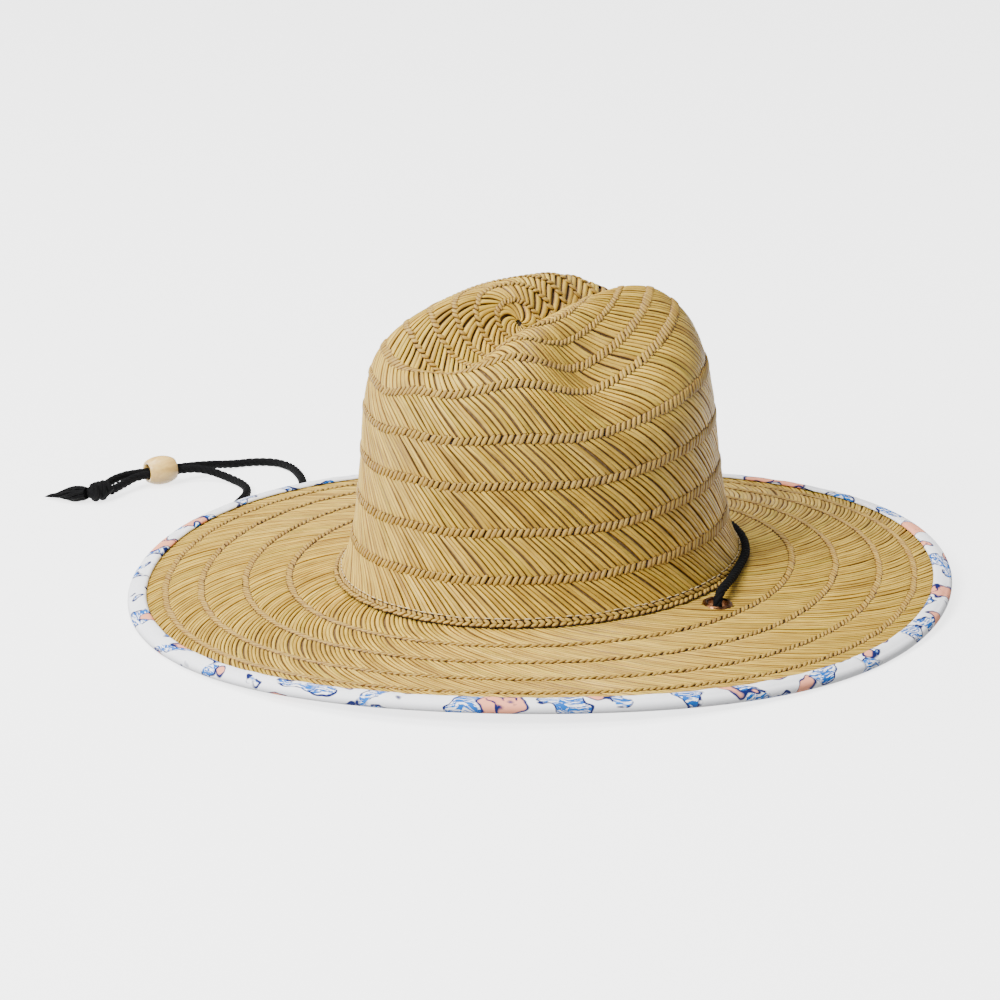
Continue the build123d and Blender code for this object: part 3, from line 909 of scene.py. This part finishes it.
def braid(name, route):
    """Fat strands wound round the cord's line; returns the piece, its centreline and length."""
    points, run = even_line(smooth_line(name + "_line", route), 0.7)
    side, up = line_frames(points)
    sections = 8
    ring = np.linspace(0, 2 * pi, sections, endpoint=False)
    all_points, all_faces = [], []
    for strand in range(BRAID_STRANDS):
        turn = 2 * pi * (run / BRAID_LAY + strand / BRAID_STRANDS)
        wound = np.cos(turn)[:, None] * side + np.sin(turn)[:, None] * up
        centre = points + STRAND_OFFSET * wound
        strand_side, strand_up = line_frames(centre)
        tube = centre[:, None] + STRAND_RADIUS * (
            np.cos(ring)[None, :, None] * strand_side[:, None]
            + np.sin(ring)[None, :, None] * strand_up[:, None]
        )
        flat, faces = closed_grid(tube)
        caps = []
        for first in (0, (len(tube) - 1) * sections):
            for quad in ((0, 1, 2, 3), (0, 3, 4, 7), (4, 5, 6, 7)):
                caps.append([first + corner for corner in quad])
        faces = np.concatenate([faces, np.array(caps)])
        all_faces.append(faces + sum(len(p) for p in all_points))
        all_points.append(flat)
    piece = mesh_piece(name, np.concatenate(all_points), np.concatenate(all_faces), material=black)
    return piece, points, run[-1]


def cord_piece(node, route):
    piece, line, length = braid(node + "_braid", route)
    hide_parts(node)
    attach(piece, "hat")


# ---- bead, knot and tassel ---------------------------------------------------------------
BEAD_CENTRE = Vector((-273.5, 11.6, 7.6))
BEAD_TURN = radians(22)


def revolve(name, outline, centre, axis, material, segments=64):
    """A closed turned piece; outline is (along, radius) in mm, and closes on itself."""
    axis = np.array(axis) / np.linalg.norm(axis)
    side = np.cross(axis, (0, 0, 1))
    side /= np.linalg.norm(side)
    up = np.cross(axis, side)
    turn = np.linspace(0, 2 * pi, segments, endpoint=False)
    outline = np.array(outline + outline[:1])
    spoke = np.cos(turn)[:, None] * side + np.sin(turn)[:, None] * up
    lines = outline[:, None, 1:] * spoke[None] + outline[:, None, :1] * axis + np.array(centre)
    points, faces = closed_grid(lines)
    return mesh_piece(name, points, faces, material=material)


def bead_outline():
    half, ball, end, bore = 7.7, 7.6, 5.6, 3.75
    outer = []
    for k in range(25):
        t = -1 + 2 * k / 24
        outer.append((half * t, end + (ball - end) * (1 - abs(t) ** 2.3)))
    rim = [(half + 0.05, 5.1), (half - 0.05, 4.5), (half - 0.6, 4.0), (half - 1.6, bore)]
    return outer + rim + [(-along, radius) for along, radius in reversed(rim)]


bead = revolve(
    "bead_turned", bead_outline(), BEAD_CENTRE, (sin(BEAD_TURN), cos(BEAD_TURN), 0), bead_material()
)
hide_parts("cord_bead")
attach(bead, "bead")

KNOT_CENTRE = np.array((-275.5, -31.9, 5.6))
KNOT_AXIS = (-0.222, -0.975, 0.0)


def knot_route():
    """An overhand knot's loops, drawn tight about the two strands."""
    along = np.array(KNOT_AXIS)
    across = np.array((0.975, -0.222, 0.0))
    up = np.array((0.0, 0.0, 1.0))
    points = []
    for k in range(22):
        t = k / 21
        turn = 2 * pi * 2.25 * t
        points.append(
            KNOT_CENTRE
            + along * (-4.6 + 9.2 * t)
            + 3.3 * (cos(turn) * across + sin(turn) * up)
        )
    return points


knot_piece, _, _ = braid("cord_knot_wraps", knot_route())
knot_core = revolve(
    "cord_knot_core",
    [(-7.4, 0.05), (-6.4, 2.6), (-3.4, 4.1), (0, 4.5), (3.4, 4.1), (6.4, 2.8), (7.6, 0.05)],
    KNOT_CENTRE,
    KNOT_AXIS,
    black,
    32,
)
for piece in (knot_piece, knot_core):
    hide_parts("cord_knot")

TASSEL_START = np.array((-278.2, -38.4, 5.2))
TASSEL_END = np.array((-301.0, -45.5, 1.4))


def tassel():
    """Loose fibres that fan out of the knot and draw to a point."""
    count, steps = 150, 9
    run = TASSEL_END - TASSEL_START
    ahead = run / np.linalg.norm(run)
    side = np.cross(ahead, (0, 0, 1))
    side /= np.linalg.norm(side)
    up = np.cross(side, ahead)
    start_turn = rng.uniform(0, 2 * pi, count)
    start_far = np.sqrt(rng.uniform(0, 1, count))
    t = np.linspace(0, 1, steps)[None]
    reach = rng.uniform(0.62, 1.0, count)[:, None]
    width = 3.6 + 2.2 * np.sin(pi * np.clip(t * 1.3, 0, 1)) - 3.5 * t**1.6
    curl = rng.normal(0, 0.5, (count, 1)) * t**2 * 3
    swirl = start_turn[:, None] + rng.normal(0.5, 0.5, count)[:, None] * t
    out = start_far[:, None] * width
    centre = TASSEL_START + (t * reach)[..., None] * run
    centre = centre + (out * np.cos(swirl) + curl)[..., None] * side
    centre = centre + (0.75 * out * np.sin(swirl))[..., None] * up
    centre[..., 2] = np.maximum(centre[..., 2], 0.35)
    thick = (0.62 * (1 - 0.8 * t**2)) * np.ones((count, 1))
    ring = np.linspace(0, 2 * pi, 5)
    spoke = np.cos(ring)[:, None] * side + np.sin(ring)[:, None] * up
    grids = centre[:, :, None] + thick[:, :, None, None] * spoke[None, None]
    flat = grids.reshape(-1, 3)
    flat[:, 2] = np.maximum(flat[:, 2], 0.05)
    return mesh_piece("cord_tassel_fibres", flat, grid_faces(count, steps, 5), material=black)


tassel_piece = tassel()
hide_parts("cord_tassel")
for piece in (knot_piece, knot_core, tassel_piece):
    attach(piece, "hat")

cord_piece("chin_cord_back", BACK_ROUTE)
cord_piece("chin_cord_left", LEFT_ROUTE)
cord_piece("chin_cord_right", RIGHT_ROUTE)


# ---- parts that keep their CAD shape -----------------------------------------------------
def repaint(node, material):
    obj = nodes[node]
    obj.data.materials.clear()
    obj.data.materials.append(material)


for node in ("eyelet_left", "eyelet_right", "eyelet_washer_left", "eyelet_washer_right"):
    repaint(node, copper)
repaint("sweatband", band_material())


# ---- studio ------------------------------------------------------------------------------
FLOOR_GREY = 0.66
FLOOR_GLOW = 2.7  # keeps the backdrop near white and the shadows faint
WORLD_LIGHT = 0.46
HAT_MIDDLE = Vector((0, 0, 0.05))  # the lights aim here

bpy.ops.mesh.primitive_plane_add(size=60, location=(0, 0, 0))
floor = bpy.context.object
floor.name = "floor"
floor.data.materials.append(
    Nodes("floor_pale").finish(
        (FLOOR_GREY,) * 3, 0.9, Emission_Color=(1, 1, 1, 1), Emission_Strength=FLOOR_GLOW
    )
)
floor.visible_diffuse = False  # the glow is seen, but doesn't light the hat

world = bpy.data.worlds.new("studio")
world.use_nodes = True
world.node_tree.nodes["Background"].inputs["Color"].default_value = (1, 1, 1, 1)
world.node_tree.nodes["Background"].inputs["Strength"].default_value = WORLD_LIGHT
bpy.context.scene.world = world


def area_light(name, place, size, power):
    data = bpy.data.lights.new(name, "AREA")
    data.energy = power
    data.size = size
    light = bpy.data.objects.new(name, data)
    light.location = place
    away = Vector(place) - HAT_MIDDLE
    light.rotation_euler = away.to_track_quat("Z", "Y").to_euler()
    bpy.context.collection.objects.link(light)


area_light("key", (-0.05, -2.05, 1.6), 0.9, 122)
area_light("top", (-0.7, -0.2, 2.3), 1.5, 74)
area_light("side", (-2.1, -0.6, 0.9), 1.0, 14)

# ---- camera ------------------------------------------------------------------------------
VIEW_AZIMUTH = radians(40)
VIEW_ELEVATION = radians(17.62)
VIEW_DISTANCE = 2.2
VIEW_SCALE = 2.036  # picture widths per 1000 mm at the hat's middle
VIEW_HEIGHT = 0.0049  # of the point that the camera faces
SENSOR_WIDTH = 36

camera_data = bpy.data.cameras.new("camera")
camera = bpy.data.objects.new("camera", camera_data)
bpy.context.collection.objects.link(camera)
back = Vector(
    (
        sin(VIEW_AZIMUTH) * cos(VIEW_ELEVATION),
        -cos(VIEW_AZIMUTH) * cos(VIEW_ELEVATION),
        sin(VIEW_ELEVATION),
    )
)
camera.location = back * VIEW_DISTANCE + Vector((0, 0, VIEW_HEIGHT))
camera.rotation_euler = back.to_track_quat("Z", "Y").to_euler()
camera_data.sensor_width = SENSOR_WIDTH
camera_data.lens = SENSOR_WIDTH * VIEW_SCALE * VIEW_DISTANCE
camera_data.shift_x = -0.0416
camera_data.shift_y = 0.0803
camera_data.clip_end = 200
bpy.context.scene.camera = camera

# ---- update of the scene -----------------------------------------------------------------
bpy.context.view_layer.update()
